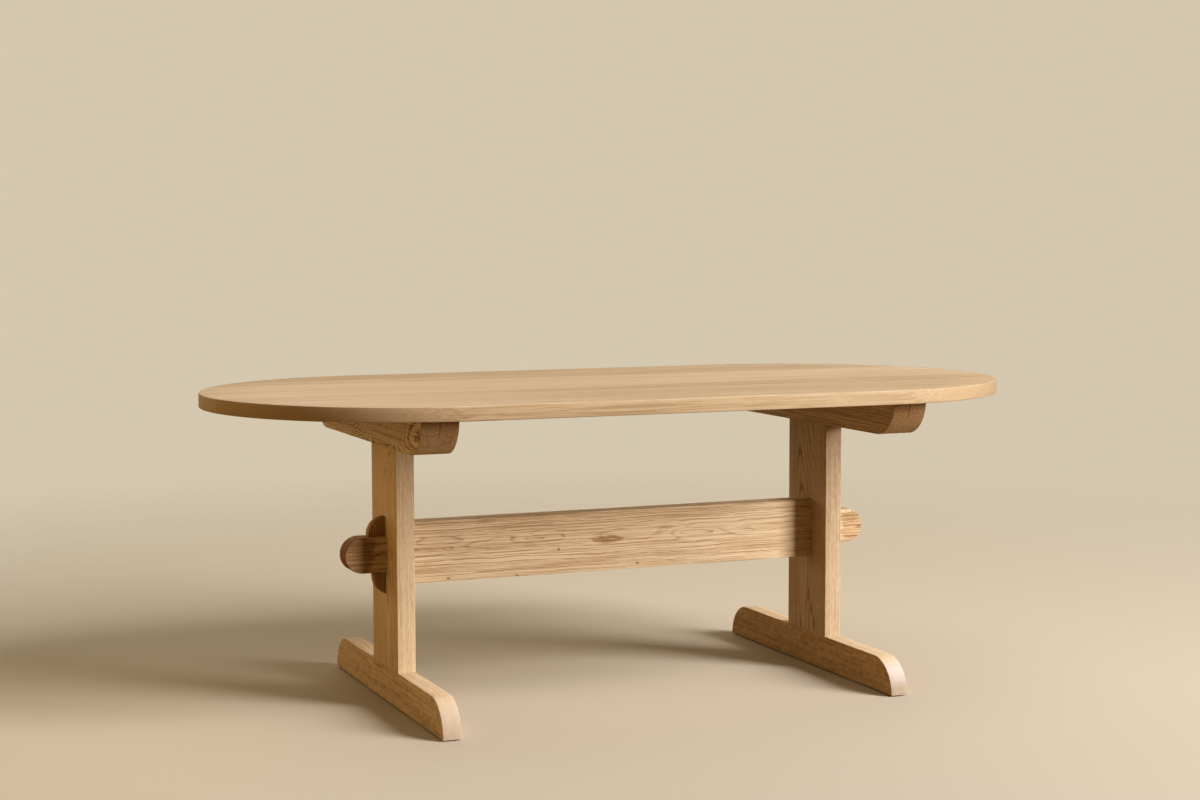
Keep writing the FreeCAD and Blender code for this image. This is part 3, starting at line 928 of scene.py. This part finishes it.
def fixingPlaces():
    # Two in the inner bearer board, and one in the middle of the outer board
    inner, outer = (sum(corner[0] for corner in nodeBox("right_bearer_" + which)) / 2
                    for which in ("inner", "outer"))
    aside = slotForm["offset"]
    return np.array([[inner, -aside, 0.0], [inner, aside, 0.0], [outer, 0.0, 0.0]])


def topBolts(side, places):
    # Head: the smaller of the hexagon's radius, half the flats over the cosine of the angle from the middle
    # of the nearest flat, and that of a cone which widens by the square root of 3 per height
    form = boltForm
    low, high = (corner[2] for corner in nodeBox("right_top_bolts"))
    rise = np.linspace(0, form["headHeight"], form["headSteps"] + 1)[:, None]
    hexagon = form["flats"] / 2 / np.cos(angles % (math.pi / 3) - math.pi / 6)
    head = np.minimum(hexagon, form["headFace"] + rise * math.sqrt(3))
    thread, threadHeight = threaded(high - form["threadLength"], high, form, form["shank"])
    ends = np.zeros((1, len(angles)))
    radius = np.concatenate([ends, head, ends + form["shank"], thread, ends])
    height = np.concatenate([column(low), low + rise, column(low + form["headHeight"]), threadHeight,
                             column(high)])
    addTurned(side + "TopBolts", places, radius, height, side + "_top_bolts", boltFinish)


def topWashers(side, places):
    # Profile of a ring with both outer edges rounded, carried round the bolt
    low, high = (corner[2] for corner in nodeBox("right_top_washers"))
    bore = washerForm["bore"]
    reach, lift = roundedEdge(washerForm["radius"], turnedForm["edge"])
    radius = np.concatenate([[bore], reach, reach[::-1], [bore, bore]])[:, None] + angles * 0
    height = np.concatenate([[low], low + lift, (high - lift)[::-1], [high, low]])[:, None]
    addTurned(side + "TopWashers", places, radius, height, side + "_top_washers", washerFinish)


def topInserts(side, places):
    # Sleeve: out from the bore, up the thread, in again and straight down the bore
    low, high = (corner[2] for corner in nodeBox("right_top_inserts"))
    thread, threadHeight = threaded(low, high, insertForm, insertForm["radius"])
    bore = np.full((1, len(angles)), insertForm["bore"])
    radius = np.concatenate([bore, thread, bore, bore])
    height = np.concatenate([column(low), threadHeight, column(high, low)])
    addTurned(side + "TopInserts", places, radius, height, side + "_top_inserts", insertFinish)


def footGlides(side):
    # Disc whose lower edge is rounded by a quarter circle
    low, high = nodeBox("right_glides")
    middle, aside = (low[0] + high[0]) / 2, high[1] - glideForm["radius"]
    places = onSide(side, np.array([[middle, -aside, 0.0], [middle, aside, 0.0]]))
    reach, lift = roundedEdge(glideForm["radius"], glideForm["edge"])
    radius = np.concatenate([[0.0], reach, [glideForm["radius"], 0.0]])[:, None] + angles * 0
    height = np.concatenate([[low[2]], low[2] + lift, [high[2], high[2]]])[:, None]
    addTurned(side + "Glides", places, radius, height, side + "_glides", glideFinish)


# Both trestles and the stretcher

for side in sideTurns:
    trestleFoot(side)
    trestlePost(side)
    trestleBearer(side, "inner")
    trestleBearer(side, "outer")
    wedgeKey(side)
    places = onSide(side, fixingPlaces())
    topBolts(side, places)
    topWashers(side, places)
    topInserts(side, places)
    footGlides(side)
    print(side, "trestle made")
stretcherBeam()
print("stretcher made")


# Studio

floorForm = {
    "seen": (0.50, 0.445, 0.36), "bounce": (0.28, 0.195, 0.088), "reach": 12.0, "fade": (1.5, 5.0),
    "mottle": ((1.5, 1.5, 1.5), 3.0, 0.5), "mottleGloss": 0.1, "roughness": 0.9, "specular": 0.1,
}


def studioFloor():
    # A flat sheet that fades out with the distance from the table, so that it runs into the backdrop.
    # The light that it throws back is warmer than the sheet itself looks.
    form = floorForm
    finish, start = newFinish("floorPaint")
    place = start.node("ShaderNodeTexCoord", take="Object")
    away = place.vector("LENGTH", place, take=1)
    mottle = place.noise(*form["mottle"])
    seen = start.node("ShaderNodeLightPath", take="Is Camera Ray")
    closeFinish(start, {
        "Base Color": seen.mixed(opaque(form["bounce"]), opaque(form["seen"])),
        "Roughness": form["roughness"] + (mottle - 0.5) * form["mottleGloss"],
        "Specular IOR Level": form["specular"], "Alpha": 1.0 - away.between(*form["fade"])})
    reach = form["reach"]
    corners = [(-reach, -reach, 0), (reach, -reach, 0), (reach, reach, 0), (-reach, reach, 0)]
    mesh = bpy.data.meshes.new("floor")
    mesh.from_pydata(corners, [], [(0, 1, 2, 3)])
    mesh.materials.append(finish)
    floor = bpy.data.objects.new("floor", mesh)
    scene.collection.objects.link(floor)


lampAzimuth, lampDistance, lampHeight = math.radians(44.5), 9.0, 5.7
lampPlace = (lampDistance * math.sin(lampAzimuth), -lampDistance * math.cos(lampAzimuth), lampHeight)
softLights = {
    "key": {"place": lampPlace, "size": (3.3, 9.0), "colour": (1.0, 0.968, 0.965), "power": 2270.0,
            "spread": math.pi},                              # tall and narrow, at the right of the viewer
    "back": {"place": (0.0, 5.4, 2.2), "size": (11.0, 4.0), "colour": (1.0, 0.86, 0.64), "power": 170.0,
             "spread": math.radians(125)},                   # behind the table
    "fill": {"place": (-3.2, -0.3, 1.1), "size": (2.6, 1.5), "colour": (1.0, 0.64, 0.25), "power": 12.5,
             "spread": math.radians(125)},                   # warm, at the table's left end
}
ceilingLight = {"spread": math.radians(60), "strength": 0.5, "colour": (1.0, 0.92, 0.80)}


def studioLights():
    for name, form in softLights.items():
        lamp = bpy.data.lights.new(name + "Light", "AREA")
        lamp.shape, lamp.energy, lamp.color = "RECTANGLE", form["power"], form["colour"]
        lamp.size, lamp.size_y = form["size"]
        lamp.spread = form["spread"]
        light = bpy.data.objects.new(name + "Light", lamp)
        light.location = form["place"]
        aim = Vector((0.0, 0.0, form["place"][2]))  # level, at the table's middle
        light.rotation_euler = (aim - light.location).to_track_quat("-Z", "Y").to_euler()
        light.visible_camera = False
        scene.collection.objects.link(light)
    lamp = bpy.data.lights.new("ceilingLight", "SUN")  # soft light from above, the same everywhere
    lamp.angle, lamp.energy = ceilingLight["spread"], ceilingLight["strength"]
    lamp.color = ceilingLight["colour"]
    scene.collection.objects.link(bpy.data.objects.new("ceilingLight", lamp))


worldForm = {"glow": (1.0, 0.60, 0.26), "glowStrength": 0.02, "backdrop": (0.57, 0.50, 0.385)}


def studioWorld():
    # The camera sees the plain backdrop, and the table is lit by a faint warm glow
    form = worldForm
    world = bpy.data.worlds.new("studio")
    scene.world = world
    world.use_nodes = True
    world.node_tree.nodes.clear()
    start = Signal(world.node_tree)
    seen = start.node("ShaderNodeLightPath", take="Is Camera Ray")
    glow = start.node("ShaderNodeBackground", {}, {
        "Color": opaque(form["glow"]), "Strength": form["glowStrength"]})
    backdrop = start.node("ShaderNodeBackground", {}, {"Color": opaque(form["backdrop"]), "Strength": 1.0})
    mix = start.node("ShaderNodeMixShader", {}, {0: seen, 1: glow, 2: backdrop})
    start.node("ShaderNodeOutputWorld", {}, {"Surface": mix})


viewpoint = {
    "place": (-2.0492, -4.8583, 1.1545), "lens": 62.945, "sensor": 36.0,
    "yaw": math.radians(22.531), "pitch": math.radians(4.734), "roll": math.radians(-0.115),
}


def photoCamera():
    yaw, pitch, roll = viewpoint["yaw"], viewpoint["pitch"], viewpoint["roll"]
    ahead = Vector((math.sin(yaw), math.cos(yaw), 0))
    right = Vector((math.cos(yaw), -math.sin(yaw), 0))
    up = Vector((0, 0, 1))
    sight = ahead * math.cos(pitch) - up * math.sin(pitch)
    up = up * math.cos(pitch) + ahead * math.sin(pitch)
    right, up = right * math.cos(roll) + up * math.sin(roll), up * math.cos(roll) - right * math.sin(roll)
    lens = bpy.data.cameras.new("photoCamera")
    lens.lens, lens.sensor_width, lens.sensor_fit = viewpoint["lens"], viewpoint["sensor"], "HORIZONTAL"
    camera = bpy.data.objects.new("photoCamera", lens)
    turn = Matrix((right, up, -sight)).transposed().to_4x4()
    camera.matrix_world = Matrix.Translation(viewpoint["place"]) @ turn
    scene.collection.objects.link(camera)
    scene.camera = camera


studioFloor()
studioLights()
studioWorld()
photoCamera()
scene.view_settings.view_transform = "Standard"
scene.view_settings.look = "Medium High Contrast"
print("studio made")
